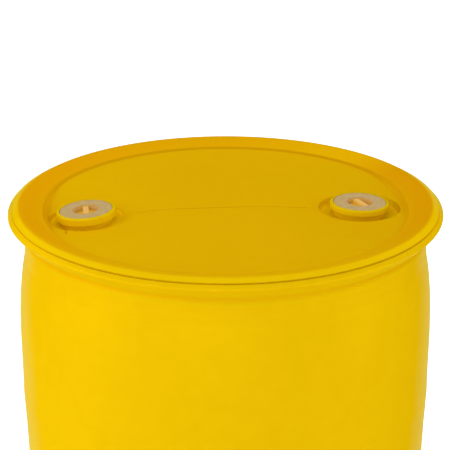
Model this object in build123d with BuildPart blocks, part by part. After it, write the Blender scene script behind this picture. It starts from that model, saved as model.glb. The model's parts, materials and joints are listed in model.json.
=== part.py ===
"""Closed-head plastic drum of the 208 litre class, with its two screw plugs and their gaskets.

The drum is one blow-moulded shell: body, recessed head, handling ring, foot ring and both
threaded necks. A fine-threaded plug closes the left neck and a buttress-threaded plug closes the
right one. Each plug squeezes a flat gasket in the mouth of its neck.

Millimetres. +Z is up, the origin is the centre of the floor plane under the foot ring, and both
necks lie on the X axis.
"""

from build123d import *
from dataclasses import dataclass
from math import cos, hypot, pi, radians, sin, tan
import os

# Drum: overall sizes
HEIGHT = 900.0            # floor to the crest of the handling ring
RING_R = 298.0            # widest radius, on the handling ring
SWELL_R = 283.4           # widest radius of the body, near each end
HOOP_R = 281.1            # body radius at the end of each swell, where the waist starts
WAIST_R = 274.0           # body radius at half height
WALL = 3.8                # moulded wall thickness
SEAM_WIDTH = 1.2          # parting line of the mould, a low ridge in the plane of both necks
SEAM_HEIGHT = 0.35
SEAM_STOP = 16.0          # how far short of each well the ridge ends

# Drum: heights of the body's stations, measured down from the crest and up from the floor
UNDERSIDE_DROP = 24.0     # half way down the sloping underside of the handling ring
CREASE_DROP = 36.0        # bottom of the crease under the ring
SHOULDER_DROP = 71.0
SWELL_DROP = 172.0
HOOP_DROP = 272.0
UNDERSIDE_R = 288.5
CREASE_R = 275.0
SHOULDER_R = 276.3

# Head: a shallow dish inside the handling ring
PANEL_DROP = 7.6          # crest down to the flat head panel
PANEL_R = 250.7           # where the panel meets the sloping wall of the dish
CREST_INNER_R = 277.0
CREST_OUTER_R = 284.0
WITNESS_R = 292.6         # mould witness groove round the outside of the ring
WITNESS_DROP = 5.0
WITNESS_DEPTH = 1.2
WITNESS_WIDTH = 1.6

# Foot: a standing ring round a raised base
FOOT_R = 284.0
FOOT_FLAT_OUTER_R = 280.0
FOOT_FLAT_INNER_R = 262.0
BASE_RISE = 13.0
BASE_R = 244.0

# Necks: measured along the neck's own axis from the head panel, positive up
COLLAR_R = 40.6           # thick collar round the mouth, that a tamper seal snaps over
COLLAR_EDGE = 2.6         # rounding of the collar's top edge
NECK_TOP = 3.7
SEAT_R = 36.7             # counterbore that takes the plug's head and its gasket
SEAT_DEPTH = 7.2
STEM_R = 35.2             # below the collar, and on down inside the drum
STEM_BOTTOM = -28.0
WELL_FLOOR = -15.0
WELL_DRAFT = 1.5          # how far the well's side opens out from half height to floor or brink
WELL_TOP = 12.0           # well above the panel, so that the cut is open
HOLLOW_LIFT = 0.1         # how far the hollow's edge is above the panel, so that the two cross

# Notch: a short groove in the head, from the brink of the left well towards the front
NOTCH_X = -220.5
NOTCH_START_Y = -42.0
NOTCH_END_Y = -66.0
NOTCH_WIDTH = 2.0
NOTCH_START_DEPTH = 1.5
NOTCH_END_DEPTH = 0.8

# Plugs
PLUG_HEAD_R = 36.1
PLUG_HEAD_THICK = 4.5
PLUG_BOTTOM = -26.0
PLUG_WALL = 3.4
RECESS_R = 18.0           # wrench recess in the middle of the plug
RECESS_FLOOR = -4.5
RECESS_WALL = 2.8
BRIDGE_WIDTH = 8.0        # bar across the recess that the wrench turns
BRIDGE_DROP = 2.0

# Gaskets
GASKET_THICK = 2.5
GASKET_R = 36.0
GASKET_BORE_GAP = 0.35    # between the gasket's bore and the tips of the plug's thread

# Threads: both are right-handed
FLANK_GAP = 0.2           # axial clearance on each flank
BORE_GAP = 0.3            # radial clearance at the tips of each thread
ROOT_BITE = 0.5           # how far a thread's root is sunk into the wall that carries it


@dataclass
class Thread:
    """One screw thread, the same form for the plug and for the neck."""

    pitch: float
    pitch_radius: float
    half_depth: float     # from the pitch radius to the tip, and to the root
    upper_slope: float    # degrees that the plug thread's upper flank leans back from square
    lower_slope: float    # the same for its lower flank
    plug_turns: int       # whole turns, so that the two ridges keep out of step
    neck_turns: int


@dataclass
class Bung:
    """A neck, with the plug and the gasket that close it."""

    name: str
    x: float              # its middle, level with the head panel
    rise: float           # how far that middle is above the panel
    lean: float           # degrees that its axis leans towards +X
    collar_height: float
    well_r: float         # radius of the steep-sided well round it, at half height
    hollow_x: float       # middle of the soft hollow round the well
    hollow_r: float
    hollow_depth: float
    bridge_turn: float    # degrees from the Y axis to the wrench bar
    bridge_shift: float   # from the plug's axis to the middle of the bar
    thread: Thread


# 2 inch straight pipe thread, 11.5 threads to the inch
FINE_THREAD = Thread(25.4 / 11.5, 29.15, 0.65, 30.0, 30.0, 6, 7)
# 2 inch coarse buttress thread, 5 threads to the inch
BUTTRESS_THREAD = Thread(25.4 / 5.0, 29.9, 1.1, 7.0, 45.0, 2, 3)

LEFT_BUNG = Bung(
    name="nps",
    x=-191.0,
    rise=0.0,
    lean=-5.0,
    collar_height=11.0,
    well_r=53.0,
    hollow_x=-211.0,
    hollow_r=145.0,
    hollow_depth=13.0,
    bridge_turn=0.0,
    bridge_shift=0.0,
    thread=FINE_THREAD,
)
RIGHT_BUNG = Bung(
    name="buttress",
    x=185.0,
    rise=-1.0,
    lean=2.0,
    collar_height=8.5,
    well_r=57.0,
    hollow_x=193.0,
    hollow_r=160.0,
    hollow_depth=8.6,
    bridge_turn=22.0,
    bridge_shift=3.5,
    thread=BUTTRESS_THREAD,
)
BUNGS = [LEFT_BUNG, RIGHT_BUNG]

PANEL_Z = HEIGHT - PANEL_DROP
SEAT_FLOOR = NECK_TOP - SEAT_DEPTH
PLUG_UNDERSIDE = SEAT_FLOOR + GASKET_THICK
PLUG_TOP = PLUG_UNDERSIDE + PLUG_HEAD_THICK


# ---- Frames of reference on a neck ----

def neck_origin(bung):
    """The point on a neck's axis that its heights are measured from."""
    return Vector(bung.x, 0, PANEL_Z + bung.rise)


def neck_up(bung):
    """The direction of a neck's axis, out of the drum."""
    lean = radians(bung.lean)
    return Vector(sin(lean), 0, cos(lean))


def neck_axis(bung):
    return Axis(neck_origin(bung), neck_up(bung))


def neck_section(bung):
    """The plane of a neck's section: x is the radius from its axis, y is the height along it."""
    lean = radians(bung.lean)
    return Plane(origin=neck_origin(bung), x_dir=(cos(lean), 0, -sin(lean)), z_dir=(0, -1, 0))


def neck_plan(bung, height):
    """The plane square to a neck's axis, at a height along it."""
    lean = radians(bung.lean)
    plane = Plane(origin=neck_origin(bung), x_dir=(cos(lean), 0, -sin(lean)), z_dir=neck_up(bung))
    return plane.offset(height)


# ---- Threads ----

def thread_top(bung):
    """The height of the upper end of the neck's ridge, clear below the counterbore."""
    return SEAT_FLOOR - 1 - 0.75 * bung.thread.pitch


def thread_path(bung, start_height, turns):
    """A helix on the pitch radius that starts at a height along the neck's axis."""
    thread = bung.thread
    centre = neck_origin(bung) + neck_up(bung) * start_height
    return Helix(
        pitch=thread.pitch,
        height=turns * thread.pitch,
        radius=thread.pitch_radius,
        center=centre,
        direction=neck_up(bung),
    )


def ridge_section(bung, path, inner, outer, narrow_outwards):
    """The section of one thread ridge, drawn on the plane of the axis at the start of its path.

    inner and outer are distances from the pitch radius. A plug's ridge narrows outwards, and a
    neck's ridge narrows inwards, with flanks parallel to the plug's.
    """
    thread = bung.thread
    start = path @ 0
    up = neck_up(bung)
    from_axis = start - neck_origin(bung)
    outwards = (from_axis - up * from_axis.dot(up)).normalized()
    half = thread.pitch / 4 - FLANK_GAP / 2
    upper = tan(radians(thread.upper_slope))
    lower = tan(radians(thread.lower_slope))
    if not narrow_outwards:
        upper, lower = -lower, -upper
    with BuildSketch(Plane(origin=start, x_dir=outwards, z_dir=outwards.cross(up))) as section:
        Polygon(
            (inner, half - upper * inner),
            (outer, half - upper * outer),
            (outer, lower * outer - half),
            (inner, lower * inner - half),
            align=None,
        )
    return section.sketch


def sweep_ridge(bung, start_height, turns, inner, outer, narrow_outwards):
    path = thread_path(bung, start_height, turns)
    section = ridge_section(bung, path, inner, outer, narrow_outwards)
    return sweep(section, path=path, is_frenet=True, mode=Mode.PRIVATE)


def plug_thread(bung):
    """The ridge round the plug's skirt, half a pitch out of step with the neck's ridge."""
    thread = bung.thread
    start = thread_top(bung) - (thread.plug_turns + 0.5) * thread.pitch
    root = -thread.half_depth - ROOT_BITE
    return sweep_ridge(bung, start, thread.plug_turns, root, thread.half_depth, True)


def neck_thread(bung):
    """The ridge round the neck's bore."""
    thread = bung.thread
    start = thread_top(bung) - thread.neck_turns * thread.pitch
    tip = BORE_GAP - thread.half_depth
    root = thread.half_depth + BORE_GAP + ROOT_BITE
    return sweep_ridge(bung, start, thread.neck_turns, tip, root, False)


def core_radius(bung):
    """The radius at the root of the plug's thread."""
    return bung.thread.pitch_radius - bung.thread.half_depth


def bore_radius(bung):
    """The radius of the neck's bore, at the root of its thread."""
    return bung.thread.pitch_radius + bung.thread.half_depth + BORE_GAP


# ---- Drum shell ----

def body_side(inset):
    """The body's side from the top shoulder down to the bottom one, moved in by inset."""
    shoulder = (SHOULDER_R - inset, HEIGHT - SHOULDER_DROP)
    top_hoop = (HOOP_R - inset, HEIGHT - HOOP_DROP)
    waist = (WAIST_R - inset, HEIGHT / 2)
    bottom_hoop = (HOOP_R - inset, HOOP_DROP)
    foot_shoulder = (SHOULDER_R - inset, SHOULDER_DROP)
    shoulder_lean = (0.19, -1)
    Spline(
        shoulder,
        (SWELL_R - inset, HEIGHT - SWELL_DROP),
        top_hoop,
        tangents=[shoulder_lean, (0, -1)],
    )
    ThreePointArc(top_hoop, waist, bottom_hoop)
    Spline(
        bottom_hoop,
        (SWELL_R - inset, SWELL_DROP),
        foot_shoulder,
        tangents=[(0, -1), (-0.19, -1)],
    )


def ring_outside():
    """Head panel, dish wall, crest and outside of the handling ring, down to the shoulder."""
    groove_r = WITNESS_R - WITNESS_DEPTH
    groove_z = HEIGHT - WITNESS_DROP
    FilletPolyline(
        (0, PANEL_Z),
        (PANEL_R, PANEL_Z),
        (CREST_INNER_R, HEIGHT),
        (CREST_OUTER_R, HEIGHT),
        (WITNESS_R, groove_z),
        (groove_r, groove_z),
        (groove_r, groove_z - WITNESS_WIDTH),
        (WITNESS_R + 0.6, groove_z - WITNESS_WIDTH),
        (RING_R, HEIGHT - 11),
        (RING_R, HEIGHT - 14),
        (UNDERSIDE_R, HEIGHT - UNDERSIDE_DROP),
        (CREASE_R, HEIGHT - CREASE_DROP),
        (SHOULDER_R - 1, HEIGHT - 54),
        (SHOULDER_R, HEIGHT - SHOULDER_DROP),
        radius=[7, 12, 8, 0, 0, 0, 0, 1.2, 3, 6, 8, 20],
    )


def foot_outside():
    """The bottom shoulder, the crease above the foot ring, the ring and the raised base."""
    FilletPolyline(
        (SHOULDER_R, SHOULDER_DROP),
        (CREASE_R, 38),
        (276, 28),
        (FOOT_R, 20),
        (FOOT_R, 6),
        (FOOT_FLAT_OUTER_R, 0),
        (FOOT_FLAT_INNER_R, 0),
        (BASE_R, BASE_RISE),
        (0, BASE_RISE),
        radius=[12, 6, 6, 4, 3, 4, 8],
    )


def cavity_outline():
    """The inside of the shell, closed along the drum's axis."""
    roof = PANEL_Z - WALL
    floor = BASE_RISE + WALL
    FilletPolyline(
        (0, roof),
        (PANEL_R - 5, roof),
        (CREASE_R - WALL - 4, HEIGHT - 34),
        (SHOULDER_R - WALL, HEIGHT - SHOULDER_DROP),
        radius=[8, 14],
    )
    body_side(WALL)
    FilletPolyline(
        (SHOULDER_R - WALL, SHOULDER_DROP),
        (CREASE_R - WALL - 2, 34),
        (BASE_R - 4, floor),
        (0, floor),
        radius=[14, 8],
    )
    Line((0, floor), (0, roof))


def bell(depth, share):
    """Depth of a bell-shaped hollow at a share of its radius: level in the middle and at its edge."""
    return depth * (1 + cos(pi * min(share, 1))) / 2


def head_sag(x, y):
    """How far the hollows lower the head panel at a place."""
    sag = 0
    for bung in BUNGS:
        distance = hypot(x - bung.hollow_x, y)
        sag += bell(bung.hollow_depth, distance / bung.hollow_r)
    return sag


def hollow_curve(bung, drop):
    """Half of a soft hollow's section, moved down by drop."""
    steps = 6
    points = []
    for step in range(steps + 1):
        share = step / steps
        points.append((bung.hollow_r * share, -bell(bung.hollow_depth, share) - drop))
    Spline(*points, tangents=[(1, 0), (1, 0)])


def hollow_solid(bung, floor_drop, roof_drop, limit):
    """The solid between the hollow and a level roof, kept inside a cone or cylinder of the drum.

    limit is the outline of that cone or cylinder as (radius, height above the panel) points.
    """
    centre = Vector(bung.hollow_x, 0, PANEL_Z)
    outwards = 1 if bung.hollow_x > 0 else -1
    with BuildPart() as hollow:
        with BuildSketch(Plane(origin=centre, x_dir=(outwards, 0, 0), z_dir=(0, -outwards, 0))):
            with BuildLine():
                hollow_curve(bung, floor_drop)
                Polyline(
                    (0, -bung.hollow_depth - floor_drop),
                    (0, -roof_drop),
                    (bung.hollow_r, -roof_drop),
                    (bung.hollow_r, -floor_drop),
                )
            make_face()
        revolve(axis=Axis(centre, (0, 0, 1)))
        with BuildSketch(Plane(origin=(0, 0, PANEL_Z), x_dir=(1, 0, 0), z_dir=(0, -1, 0))):
            Polygon(*limit, align=None)
        revolve(axis=Axis.Z, mode=Mode.INTERSECT)
    return hollow.part


def make_hollow_skin(bung):
    """Thickens the underside of the head, so that the wall keeps its thickness in the hollow."""
    outer = PANEL_R + 5
    deep = -bung.hollow_depth - 2 * WALL
    limit = [(0, 0), (outer, 0), (outer, deep), (0, deep)]
    return hollow_solid(bung, WALL + HOLLOW_LIFT, WALL / 2, limit)


def make_hollow_cut(bung):
    """The space taken out of the panel, with a 45 degree side under the wall of the dish."""
    deep = -bung.hollow_depth - WALL
    limit = [(0, 1), (PANEL_R + 1, 1), (PANEL_R + deep, deep), (0, deep)]
    return hollow_solid(bung, -HOLLOW_LIFT, -0.5, limit)


def make_well_block(bung):
    """The block below the panel that the well is cut into."""
    with BuildPart() as block:
        with BuildSketch(neck_plan(bung, WELL_FLOOR - WALL)):
            Circle(bung.well_r + WALL)
        extrude(amount=-2 * WELL_FLOOR)
        split(bisect_by=Plane.XY.offset(PANEL_Z - WALL / 2), keep=Keep.BOTTOM)
    return block.part


def make_well_cut(bung):
    """The open well round a neck, with a rounded corner at its floor."""
    with BuildPart() as well:
        with BuildSketch(neck_section(bung)):
            with BuildLine():
                FilletPolyline(
                    (0, WELL_FLOOR),
                    (bung.well_r - WELL_DRAFT, WELL_FLOOR),
                    (bung.well_r + WELL_DRAFT, WELL_TOP),
                    (0, WELL_TOP),
                    radius=[4, 0],
                )
                Line((0, WELL_TOP), (0, WELL_FLOOR))
            make_face()
        revolve(axis=neck_axis(bung))
    return well.part


def make_neck(bung):
    """The collar and the thinner stem below it, before they are bored."""
    collar_bottom = NECK_TOP - bung.collar_height
    with BuildPart() as neck:
        with BuildSketch(neck_section(bung)):
            with BuildLine():
                FilletPolyline(
                    (0, NECK_TOP),
                    (COLLAR_R, NECK_TOP),
                    (COLLAR_R, collar_bottom),
                    (STEM_R, collar_bottom),
                    (STEM_R, STEM_BOTTOM),
                    (0, STEM_BOTTOM),
                    radius=[COLLAR_EDGE, 1, 1, 1],
                )
                Line((0, STEM_BOTTOM), (0, NECK_TOP))
            make_face()
        revolve(axis=neck_axis(bung))
    return neck.part


def make_bore(bung):
    """The counterbore for the plug's head and the bore for its thread."""
    bore = bore_radius(bung)
    past = 5
    with BuildPart() as hole:
        with BuildSketch(neck_section(bung)):
            with BuildLine():
                Polyline(
                    (0, NECK_TOP + past),
                    (SEAT_R, NECK_TOP + past),
                    (SEAT_R, SEAT_FLOOR),
                    (bore, SEAT_FLOOR),
                    (bore, STEM_BOTTOM - past),
                    (0, STEM_BOTTOM - past),
                    close=True,
                )
            make_face()
        revolve(axis=neck_axis(bung))
    return hole.part


def seam_line(rise):
    """The line of the seam across the head, at a height above the panel and its hollows."""
    steps = 12
    left = LEFT_BUNG.x + LEFT_BUNG.well_r + SEAM_STOP
    right = RIGHT_BUNG.x - RIGHT_BUNG.well_r - SEAM_STOP
    points = []
    for step in range(steps + 1):
        x = left + (right - left) * step / steps
        points.append((x, PANEL_Z - head_sag(x, 0) + rise))
    return Spline(*points)


def make_seam():
    """The parting line: a low ridge across the head, down both sides and across the base."""
    root = WALL / 2
    shoulder_outside = SHOULDER_R + SEAM_HEIGHT
    shoulder_root = SHOULDER_R - root
    with BuildPart() as seam:
        with BuildSketch(Plane.XZ):
            with BuildLine():
                body_side(-SEAM_HEIGHT)
                body_side(root)
                for z in (SHOULDER_DROP, HEIGHT - SHOULDER_DROP):
                    Line((shoulder_outside, z), (shoulder_root, z))
            make_face()
            mirror(about=Plane.YZ)
            with BuildLine():
                crown = seam_line(SEAM_HEIGHT)
                underside = seam_line(-root)
                Line(crown @ 0, underside @ 0)
                Line(crown @ 1, underside @ 1)
            make_face()
            with Locations((0, BASE_RISE)):
                Rectangle(1.9 * BASE_R, 2 * SEAM_HEIGHT)
        extrude(amount=SEAM_WIDTH / 2, both=True)
    return seam.part


def make_notch():
    """The cut of the short groove, that fades away from the well."""
    start_z = PANEL_Z - head_sag(NOTCH_X, NOTCH_START_Y) - NOTCH_START_DEPTH
    end_z = PANEL_Z - head_sag(NOTCH_X, NOTCH_END_Y) - NOTCH_END_DEPTH
    with BuildPart() as notch:
        with BuildSketch(Plane.YZ.offset(NOTCH_X)):
            Polygon(
                (NOTCH_START_Y, start_z),
                (NOTCH_START_Y, PANEL_Z),
                (NOTCH_END_Y, PANEL_Z),
                (NOTCH_END_Y, end_z),
                align=None,
            )
        extrude(amount=NOTCH_WIDTH / 2, both=True)
    return notch.part


with BuildPart() as drum_shell:
    with BuildSketch(Plane.XZ):
        with BuildLine():
            ring_outside()
            body_side(0)
            foot_outside()
            Line((0, BASE_RISE), (0, PANEL_Z))
        make_face()
        with BuildLine():
            cavity_outline()
        make_face(mode=Mode.SUBTRACT)
    revolve(axis=Axis.Z)

    for bung in BUNGS:
        add(make_hollow_skin(bung))
        add(make_well_block(bung))
        add(make_hollow_cut(bung), mode=Mode.SUBTRACT)
        add(make_well_cut(bung), mode=Mode.SUBTRACT)
        add(make_neck(bung))
        add(make_bore(bung), mode=Mode.SUBTRACT)
        add(neck_thread(bung))
    add(make_seam())
    add(make_notch(), mode=Mode.SUBTRACT)
drum_shell.part.label = "drum_shell"


# ---- Plugs and gaskets ----

def make_plug(bung):
    """A screw plug: flat head, hollow threaded skirt and a recess with a bar for the wrench."""
    core = core_radius(bung)
    with BuildPart() as plug:
        with BuildSketch(neck_section(bung)):
            with BuildLine():
                FilletPolyline(
                    (RECESS_R, PLUG_TOP),
                    (PLUG_HEAD_R, PLUG_TOP),
                    (PLUG_HEAD_R, PLUG_UNDERSIDE),
                    (core, PLUG_UNDERSIDE),
                    (core, PLUG_BOTTOM),
                    (core - PLUG_WALL, PLUG_BOTTOM),
                    (core - PLUG_WALL, PLUG_UNDERSIDE),
                    (RECESS_R + RECESS_WALL, PLUG_UNDERSIDE),
                    (RECESS_R + RECESS_WALL, RECESS_FLOOR - RECESS_WALL),
                    (0, RECESS_FLOOR - RECESS_WALL),
                    radius=[1.0, 0.4, 0, 0.6, 0.4, 0.8, 0.8, 1.2],
                )
                Polyline(
                    (0, RECESS_FLOOR - RECESS_WALL),
                    (0, RECESS_FLOOR),
                    (RECESS_R, RECESS_FLOOR),
                    (RECESS_R, PLUG_TOP),
                )
            make_face()
        revolve(axis=neck_axis(bung))
        # the wrench bar across the recess, sunk a little into its wall and its floor
        sink = 0.5
        with BuildSketch(neck_plan(bung, RECESS_FLOOR - sink)):
            Circle(RECESS_R + sink)
            with Locations((bung.bridge_shift, 0)):
                Rectangle(
                    BRIDGE_WIDTH, 3 * RECESS_R, rotation=bung.bridge_turn, mode=Mode.INTERSECT
                )
        extrude(amount=PLUG_TOP - BRIDGE_DROP - RECESS_FLOOR + sink)
        add(plug_thread(bung))
    plug.part.label = bung.name + "_plug"
    return plug.part


def make_gasket(bung):
    """A flat ring of rubber between the plug's head and the counterbore's floor."""
    bore = bung.thread.pitch_radius + bung.thread.half_depth + GASKET_BORE_GAP
    middle_r = (bore + GASKET_R) / 2
    middle_z = SEAT_FLOOR + GASKET_THICK / 2
    with BuildPart() as gasket:
        with BuildSketch(neck_section(bung)):
            with Locations((middle_r, middle_z)):
                RectangleRounded(GASKET_R - bore, GASKET_THICK, 0.6)
        revolve(axis=neck_axis(bung))
    gasket.part.label = bung.name + "_gasket"
    return gasket.part


# ---- Write one file for each piece ----

os.makedirs("parts", exist_ok=True)
export_step(drum_shell.part, "parts/drum_shell.step")
for bung in BUNGS:
    for piece in (make_plug(bung), make_gasket(bung)):
        export_step(piece, f"parts/{piece.label}.step")
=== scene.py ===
"""Looks for the closed-head plastic drum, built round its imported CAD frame.

The drum shell, the two screw plugs and their gaskets keep their CAD meshes. This script gives each
of them a procedural material, and adds the floor, the soft studio lights and the camera. Everything
is in metres, in the CAD frame: +Z is up, the origin is under the middle of the drum on the floor.
"""

import json
from math import cos, radians, sin

import bpy
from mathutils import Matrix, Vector


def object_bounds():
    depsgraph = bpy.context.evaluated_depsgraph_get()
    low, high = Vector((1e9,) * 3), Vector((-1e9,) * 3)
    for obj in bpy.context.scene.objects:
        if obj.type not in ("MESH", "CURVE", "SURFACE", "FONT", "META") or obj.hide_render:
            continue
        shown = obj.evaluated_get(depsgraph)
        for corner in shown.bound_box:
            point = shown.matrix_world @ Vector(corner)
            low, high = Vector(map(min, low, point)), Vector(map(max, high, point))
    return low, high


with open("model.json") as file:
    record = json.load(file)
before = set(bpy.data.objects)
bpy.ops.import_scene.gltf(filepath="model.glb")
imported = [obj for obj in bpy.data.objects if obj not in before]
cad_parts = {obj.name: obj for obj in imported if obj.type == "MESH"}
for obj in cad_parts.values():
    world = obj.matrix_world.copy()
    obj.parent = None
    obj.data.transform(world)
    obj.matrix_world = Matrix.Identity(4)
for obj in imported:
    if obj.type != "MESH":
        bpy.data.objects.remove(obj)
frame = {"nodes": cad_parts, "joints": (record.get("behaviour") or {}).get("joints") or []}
cad_low, cad_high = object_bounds()

MM = 0.001

TOP = cad_high.z              # the crest of the handling ring
PANEL = TOP - 7.6 * MM        # the flat of the head, inside the ring
RING_FOOT = TOP - 45 * MM     # the lower end of the handling ring's underside


# ---- Node trees ----

class Tree:
    """Builds one node tree. Every method returns the output socket of the node it adds."""

    def __init__(self, tree):
        self.tree = tree
        self.tree.nodes.clear()

    def node(self, kind, values=(), **settings):
        """Adds a node. values maps an input's name or number to a value or to a socket."""
        node = self.tree.nodes.new(kind)
        for name, value in settings.items():
            setattr(node, name, value)
        for key, value in dict(values).items():
            self.feed(node.inputs[key], value)
        return node

    def feed(self, entry, value):
        """Gives an input a value, or links it to the socket that supplies one."""
        if isinstance(value, bpy.types.NodeSocket):
            self.tree.links.new(value, entry)
        else:
            entry.default_value = value

    def math(self, operation, a, b=0.0, clamp=False):
        node = self.node("ShaderNodeMath", {0: a, 1: b}, operation=operation, use_clamp=clamp)
        return node.outputs[0]

    def vector(self, operation, a, b=(0, 0, 0)):
        node = self.node("ShaderNodeVectorMath", {0: a, 1: b}, operation=operation)
        return node.outputs["Value" if operation in ("DOT_PRODUCT", "LENGTH") else "Vector"]

    def place(self):
        """A point's place in the CAD frame, in metres."""
        return self.node("ShaderNodeTexCoord").outputs["Object"]

    def noise(self, place, scale, detail=2.0, roughness=0.5):
        """Smooth noise between about 0.3 and 0.7, with scale bumps in a metre."""
        values = {"Vector": place, "Scale": scale, "Detail": detail, "Roughness": roughness}
        return self.node("ShaderNodeTexNoise", values).outputs[0]

    def band(self, value, low, high, out_low=0.0, out_high=1.0):
        """Maps low..high to out_low..out_high with smooth ends, clamped outside."""
        values = {0: value, 1: low, 2: high, 3: out_low, 4: out_high}
        node = self.node("ShaderNodeMapRange", values, interpolation_type="SMOOTHSTEP")
        return node.outputs[0]

    def between(self, value, low, high, soft):
        """1 where value is between low and high, 0 outside, with each end soft either way."""
        rise = self.band(value, low - soft, low + soft)
        fall = self.band(value, high - soft, high + soft, 1.0, 0.0)
        return self.math("MULTIPLY", rise, fall)

    def all_of(self, *masks):
        """The mask where every one of some masks holds."""
        product = masks[0]
        for mask in masks[1:]:
            product = self.math("MULTIPLY", product, mask)
        return product

    def tint(self, mask, colour, factor):
        """Multiplies a colour by a factor where a mask holds."""
        return self.mix(mask, colour, self.vector("MULTIPLY", colour, factor))

    def mix(self, share, a, b):
        """Mixes two colours. Inputs 6 and 7 and output 2 are the node's colour sockets."""
        node = self.node("ShaderNodeMix", data_type="RGBA")
        for key, value in ((0, share), (6, a), (7, b)):
            self.feed(node.inputs[key], value)
        return node.outputs[2]

    def bump(self, height, distance, strength, normal=None):
        values = {"Height": height, "Distance": distance, "Strength": strength}
        if normal is not None:
            values["Normal"] = normal
        return self.node("ShaderNodeBump", values).outputs[0]


def linear(red, green, blue):
    """A colour given in 0-255 display values, as the linear RGBA that shaders use."""
    def channel(value):
        share = value / 255
        return share / 12.92 if share <= 0.04045 else ((share + 0.055) / 1.055) ** 2.4
    return (channel(red), channel(green), channel(blue), 1.0)


def new_material(name):
    material = bpy.data.materials.new(name)
    material.use_nodes = True
    return material, Tree(material.node_tree)


def finish_material(tree, **inputs):
    """Ends a tree with a Principled shader. Input names have _ for a space."""
    values = {name.replace("_", " "): value for name, value in inputs.items()}
    shader = tree.node("ShaderNodeBsdfPrincipled", values)
    tree.node("ShaderNodeOutputMaterial", {"Surface": shader.outputs[0]})


# ---- Materials ----

YELLOW = (0.925, 0.578, 0.0015, 1.0)
YELLOW_DEEP = (0.908, 0.557, 0.001, 1.0)
# the next two colours are painted shade for the head's dish and for its walls
HEAD_SHADE_YELLOW = (0.92, 0.485, 0.001, 1.0)
WALL_SHADE_YELLOW = (0.93, 0.435, 0.001, 1.0)
RECESS_GLOW = 0.22            # strength of the glow painted into a plug's recess


class Spot:
    """The point that is being shaded, in the terms that the drum's masks are written in."""

    def __init__(self, tree):
        self.place = tree.place()
        split = tree.node("ShaderNodeSeparateXYZ", {0: self.place})
        self.x, self.y, self.z = split.outputs
        self.radius = tree.vector("LENGTH", tree.vector("MULTIPLY", self.place, (1, 1, 0)))
        normal = tree.node("ShaderNodeNewGeometry").outputs["True Normal"]
        level = tree.node("ShaderNodeSeparateXYZ", {0: normal}).outputs["Z"]
        self.steep = tree.band(level, 0.75, 0.92, 1.0, 0.0)
        self.upright = tree.band(level, 0.35, 0.60, 1.0, 0.0)
        # the dish inside the handling ring, with its wells
        high = tree.band(self.z, RING_FOOT, RING_FOOT + 10 * MM)
        self.dish = tree.all_of(high, tree.band(self.radius, 280 * MM, 287 * MM, 1.0, 0.0))
        self.outside = tree.math("SUBTRACT", 1.0, self.dish)
        self.crease = tree.between(self.z, RING_FOOT, TOP - 17 * MM, 3 * MM)


def dish_regions(tree, spot):
    """Masks and tints for the parts of the dish. They are painted shading, not a change of plastic."""
    left = tree.band(spot.x, -0.26, -0.02, 1.0, 0.0)
    right = tree.band(spot.x, 0.02, 0.26)
    behind = tree.band(tree.math("DIVIDE", spot.y, spot.radius), 0.0, 0.8)
    far = tree.band(spot.y, 0.10, 0.20)
    near = tree.math("SUBTRACT", 1.0, far)
    wall = tree.band(spot.radius, 252 * MM, 258 * MM)
    foot_of_wall = tree.between(spot.radius, 247.5 * MM, 254.5 * MM, 2 * MM)
    ledge = tree.between(spot.radius, 236 * MM, 252 * MM, 1 * MM)
    on_seam = tree.between(spot.y, -1.5 * MM, 1.5 * MM, 0.5 * MM)
    between_wells = tree.between(spot.x, -122 * MM, 112 * MM, 4 * MM)
    on_notch = tree.between(spot.x, -221.7 * MM, -219.3 * MM, 0.5 * MM)
    before_well = tree.between(spot.y, -66 * MM, -50 * MM, 2 * MM)
    return [
        (tree.all_of(spot.dish, left), (1.04, 1.05, 1.0)),
        (tree.all_of(spot.dish, right, near), (0.94, 0.94, 1.0)),
        (tree.all_of(spot.dish, right, far, wall), (1.07, 1.30, 1.0)),
        (tree.all_of(spot.dish, foot_of_wall, behind), (0.82, 0.76, 1.0)),
        (tree.all_of(spot.dish, ledge, spot.steep), (0.90, 0.86, 1.0)),
        (tree.all_of(spot.dish, on_seam, between_wells), (0.90, 0.90, 1.0)),
        (tree.all_of(spot.dish, on_notch, before_well), (0.80, 0.78, 1.0)),
    ]


def well_regions(tree, spot, joint):
    """Masks and tints for one neck and the well round it. They are painted shading too."""
    offset = tree.vector("SUBTRACT", spot.place, Vector(joint["pos_m"]))
    distance = tree.vector("LENGTH", tree.vector("MULTIPLY", offset, (1, 1, 0)))
    sideways = tree.vector("LENGTH", tree.vector("MULTIPLY", offset, (1, 0, 0)))
    sideways = tree.band(tree.math("DIVIDE", sideways, distance), 0.5, 0.9)
    lengthways = tree.math("SUBTRACT", 1.0, sideways)
    sunk = tree.band(spot.z, PANEL - 9 * MM, PANEL - 6 * MM, 1.0, 0.0)
    floor = tree.math("SUBTRACT", 1.0, spot.upright)
    well = tree.all_of(spot.dish, sunk, floor, tree.between(distance, 42 * MM, 54 * MM, 1 * MM))
    wall = tree.all_of(spot.dish, spot.upright, tree.between(distance, 49 * MM, 62 * MM, 1 * MM))
    neck = tree.all_of(spot.dish, tree.band(distance, 41.5 * MM, 42.5 * MM, 1.0, 0.0))
    return [
        (wall, (1.03, 1.25, 1.0)),
        (tree.all_of(well, sideways), (1.06, 1.18, 1.0)),
        (tree.all_of(well, lengthways), (0.85, 0.86, 1.0)),
        (neck, (0.96, 1.13, 1.0)),
    ]


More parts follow.
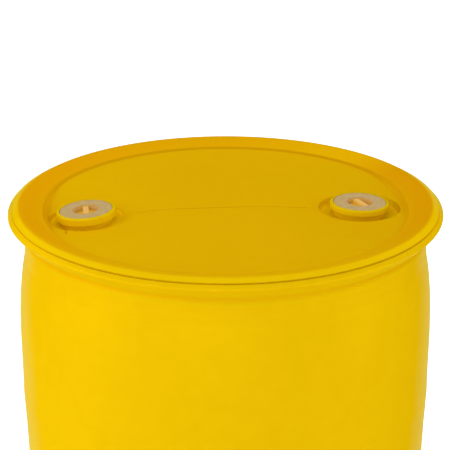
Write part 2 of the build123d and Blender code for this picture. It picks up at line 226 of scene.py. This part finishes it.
def ring_regions(tree, spot):
    """Masks and tints for the handling ring. They are painted shading too."""
    crest = tree.between(spot.radius, 283 * MM, 292 * MM, 2 * MM)
    on_top = tree.band(spot.z, TOP - 6 * MM, TOP - 4 * MM)
    rim = tree.band(spot.radius, 287 * MM, 289 * MM)
    in_groove = tree.between(spot.z, TOP - 7 * MM, TOP - 4.6 * MM, 0.4 * MM)
    under = tree.band(spot.radius, 262 * MM, 266 * MM)
    front = tree.band(tree.math("DIVIDE", spot.y, spot.radius), -0.8, -0.3, 1.0, 0.0)
    return [
        (tree.all_of(crest, on_top), (1.05, 1.09, 1.0)),
        (tree.all_of(rim, in_groove, front), (0.84, 0.82, 1.0)),
        (tree.all_of(under, spot.crease), (0.98, 1.04, 1.0)),
    ]


def drum_plastic(bung_joints):
    """Pigmented blow-moulded polyethylene: satin, faintly mottled, with fine draw lines down it."""
    material, tree = new_material("drum_yellow_polyethylene")
    spot = Spot(tree)
    cloud = tree.noise(spot.place, 6.0, 3.0)
    mottle = tree.noise(spot.place, 45.0, 2.0)
    share = tree.band(tree.math("ADD", cloud, mottle), 0.7, 1.3)
    colour = tree.mix(share, YELLOW_DEEP, YELLOW)
    # painted shade: the head is coloured darker and warmer than the body, most of all on the back and
    # side walls of its dish
    colour = tree.mix(spot.dish, colour, tree.mix(0.5, colour, HEAD_SHADE_YELLOW))
    side = tree.vector("LENGTH", tree.vector("MULTIPLY", spot.place, (1, 0, 0)))
    sideways = tree.band(tree.math("DIVIDE", side, spot.radius), 0.1, 0.9, 0.55, 1.0)
    not_front = tree.band(tree.math("DIVIDE", spot.y, spot.radius), -0.95, -0.2, 0.1, 1.0)
    wall = tree.band(spot.radius, 238 * MM, 264 * MM)
    # painted shade: a deeper orange on the dish's walls, strongest at the sides and back and faint at
    # the front
    warm = tree.all_of(spot.dish, wall, sideways, not_front)
    colour = tree.mix(warm, colour, WALL_SHADE_YELLOW)
    regions = dish_regions(tree, spot) + ring_regions(tree, spot)
    for joint in bung_joints:
        regions += well_regions(tree, spot, joint)
    for mask, factor in regions:
        colour = tree.tint(mask, colour, factor)
    # painted sheen: where the sight line grazes the skin a paler tint is painted in, and the shader's
    # own white sheen rises a little there
    facing = tree.node("ShaderNodeLayerWeight", {"Blend": 0.5}).outputs["Facing"]
    open_skin = tree.math("SUBTRACT", spot.outside, spot.crease, clamp=True)
    grazing = tree.all_of(open_skin, tree.band(facing, 0.66, 0.88))
    colour = tree.tint(grazing, colour, (1.0, 1.10, 1.0))
    # draw lines: noise squeezed along Z
    stretched = tree.vector("MULTIPLY", spot.place, (1.0, 1.0, 0.04))
    lines = tree.noise(stretched, 90.0, 2.0)
    grain = tree.noise(spot.place, 900.0, 2.0)
    normal = tree.bump(lines, 0.3 * MM, 0.06)
    normal = tree.bump(grain, 0.1 * MM, 0.12, normal)
    # the pigment tints the skin's own sheen, so most of it is yellow and little of it white
    finish_material(
        tree,
        Base_Color=colour,
        Roughness=tree.band(mottle, 0.3, 0.7, 0.42, 0.50),
        Normal=normal,
        Metallic=0.12,
        Specular_IOR_Level=tree.math("MULTIPLY", grazing, 0.07),
        Specular_Tint=(1.0, 0.75, 0.0, 1.0),
    )
    return material


def plug_plastic(name, joint):
    """Unpigmented polyethylene. Its warm beige is painted light from the yellow drum round it. A weak
    warm glow in its recess, and the recess's orange colour, stand in for light through it.
    """
    material, tree = new_material(name)
    place = tree.place()
    axis = Vector(joint["axis"])
    origin = Vector(joint["pos_m"])
    offset = tree.vector("SUBTRACT", place, origin)
    height = tree.vector("DOT_PRODUCT", offset, axis)
    radius = tree.vector("LENGTH", tree.vector("CROSS_PRODUCT", offset, axis))
    cloud = tree.noise(place, 160.0, 3.0)
    # painted light: a warm beige, for the yellow light that the pale plastic takes from the drum round
    # it
    pale = tree.mix(tree.band(cloud, 0.35, 0.65), linear(206, 172, 104), linear(216, 182, 118))
    inside = tree.band(radius, 16.5 * MM, 18.5 * MM, 1.0, 0.0)
    depth = tree.band(height, -4.5 * MM, 1.0 * MM, 1.0, 0.0)
    below_head = tree.band(height, 2.0 * MM, 3.0 * MM, 1.0, 0.0)
    recess = tree.all_of(inside, below_head)
    # painted light: the recess, and deeper its pockets, are coloured orange for the drum's yellow
    # light through the thin plastic
    colour = tree.mix(recess, pale, linear(218, 160, 88))
    colour = tree.mix(tree.all_of(inside, depth), colour, linear(208, 146, 14))
    grain = tree.noise(place, 1400.0, 2.0)
    normal = tree.bump(grain, 0.1 * MM, 0.2)
    finish_material(
        tree,
        Base_Color=colour,
        Roughness=tree.band(cloud, 0.3, 0.7, 0.38, 0.5),
        Normal=normal,
        Specular_IOR_Level=0.3,
        Emission_Color=(1.0, 0.72, 0.06, 1.0),
        Emission_Strength=tree.math("MULTIPLY", recess, RECESS_GLOW),
    )
    return material


def gasket_rubber():
    """White closed-cell rubber with a fine powdery surface."""
    material, tree = new_material("gasket_white_rubber")
    place = tree.place()
    cells = tree.noise(place, 1800.0, 3.0)
    colour = tree.mix(tree.band(cells, 0.35, 0.65), linear(205, 198, 184), linear(224, 218, 206))
    normal = tree.bump(cells, 0.1 * MM, 0.4)
    finish_material(
        tree,
        Base_Color=colour,
        Roughness=tree.band(cells, 0.3, 0.7, 0.75, 0.9),
        Normal=normal,
        Specular_IOR_Level=0.25,
    )
    return material


def paint(node, material):
    """Gives a CAD node one material in its first slot."""
    mesh = frame["nodes"][node].data
    mesh.materials.clear()
    mesh.materials.append(material)


BUNGS = ("nps", "buttress")
joints = {joint["name"]: joint for joint in frame["joints"]}
turns = {bung: joints[f"{bung}_plug_turn"] for bung in BUNGS}
paint("drum_shell", drum_plastic(turns.values()))
rubber = gasket_rubber()
for bung in BUNGS:
    paint(f"{bung}_plug", plug_plastic(f"{bung}_plug_natural", turns[bung]))
    paint(f"{bung}_gasket", rubber)


# ---- Studio ----

FLOOR_SIZE = 60.0             # along each side
FLOOR_GLOW = 0.70             # lifts the floor to white for the camera, and lights nothing
AIM_HEIGHT = 0.8              # of the drum's height, where every softbox points

def make_floor():
    """A wide pale floor with the faintest grain."""
    half = FLOOR_SIZE / 2
    mesh = bpy.data.meshes.new("studio_floor")
    corners = [(-half, -half, 0), (half, -half, 0), (half, half, 0), (-half, half, 0)]
    mesh.from_pydata(corners, [], [(0, 1, 2, 3)])
    floor = bpy.data.objects.new("studio_floor", mesh)
    bpy.context.scene.collection.objects.link(floor)
    material, tree = new_material("studio_floor_paint")
    cloud = tree.noise(tree.place(), 3.0, 2.0)
    colour = tree.mix(cloud, (0.93, 0.93, 0.93, 1), (0.96, 0.96, 0.96, 1))
    is_camera = tree.node("ShaderNodeLightPath").outputs["Is Camera Ray"]
    finish_material(
        tree,
        Base_Color=colour,
        Roughness=0.9,
        Specular_IOR_Level=0.0,
        Emission_Color=(1, 1, 1, 1),
        Emission_Strength=tree.math("MULTIPLY", is_camera, FLOOR_GLOW),
    )
    mesh.materials.append(material)


def make_world(light, seen):
    """Soft light from every side. The camera sees it as a near-white backdrop."""
    world = bpy.data.worlds.new("studio_world")
    world.use_nodes = True
    tree = Tree(world.node_tree)
    is_camera = tree.node("ShaderNodeLightPath").outputs["Is Camera Ray"]
    strength = tree.math("ADD", tree.math("MULTIPLY", is_camera, seen - light), light)
    background = tree.node("ShaderNodeBackground", {"Color": (1, 1, 1, 1), "Strength": strength})
    tree.node("ShaderNodeOutputWorld", {"Surface": background.outputs[0]})
    bpy.context.scene.world = world


def direction(azimuth, elevation):
    """A unit vector away from the drum. Azimuth 0 is in front, positive to the right."""
    side, up = radians(azimuth), radians(elevation)
    return Vector((sin(side) * cos(up), -cos(side) * cos(up), sin(up)))


def make_softbox(name, azimuth, elevation, distance, width, height, watts):
    """A rectangular light that faces the drum."""
    aim = Vector((0, 0, TOP * AIM_HEIGHT))
    out = direction(azimuth, elevation)
    data = bpy.data.lights.new(name, "AREA")
    data.shape = "RECTANGLE"
    data.size = width
    data.size_y = height
    data.energy = watts
    light = bpy.data.objects.new(name, data)
    light.location = aim + out * distance
    light.rotation_mode = "QUATERNION"
    light.rotation_quaternion = out.to_track_quat("Z", "Y")
    light.visible_camera = False
    bpy.context.scene.collection.objects.link(light)


CAMERA_DISTANCE = 4.075       # from the middle of the ring's crest
CAMERA_AZIMUTH = -5.0         # to the left of the drum's front
CAMERA_ELEVATION = 19.89
CAMERA_PITCH = 20.33          # below level
LENS_MM = 238.2               # on a 36 mm sensor
IMAGE_SHIFT = -0.0011         # of the image's width, so that the drum stands a little to the right


def make_camera():
    data = bpy.data.cameras.new("camera")
    data.lens = LENS_MM
    data.sensor_width = 36.0
    data.shift_x = IMAGE_SHIFT
    data.clip_end = 200.0
    camera = bpy.data.objects.new("camera", data)
    out = direction(CAMERA_AZIMUTH, CAMERA_ELEVATION)
    camera.location = Vector((0, 0, TOP)) + out * CAMERA_DISTANCE
    camera.rotation_euler = (radians(90 - CAMERA_PITCH), 0, radians(CAMERA_AZIMUTH))
    bpy.context.scene.collection.objects.link(camera)
    bpy.context.scene.camera = camera


make_floor()
make_world(light=0.3, seen=1.0)
make_softbox("low_front_softbox", -10, 8, 5.0, 4.0, 2.0, 52)
make_softbox("high_front_softbox", -10, 45, 5.0, 4.0, 3.0, 42)
make_softbox("left_softbox", -80, 15, 4.0, 1.5, 3.0, 47)
make_softbox("right_softbox", 75, 15, 4.0, 1.5, 3.0, 38)
make_softbox("top_softbox", 0, 85, 4.0, 4.0, 4.0, 20)
make_softbox("back_right_softbox", 140, 35, 5.0, 3.0, 3.0, 38)
make_softbox("back_left_softbox", -130, 30, 5.0, 3.0, 3.0, 44)
make_camera()
bpy.context.scene.view_settings.view_transform = "Standard"
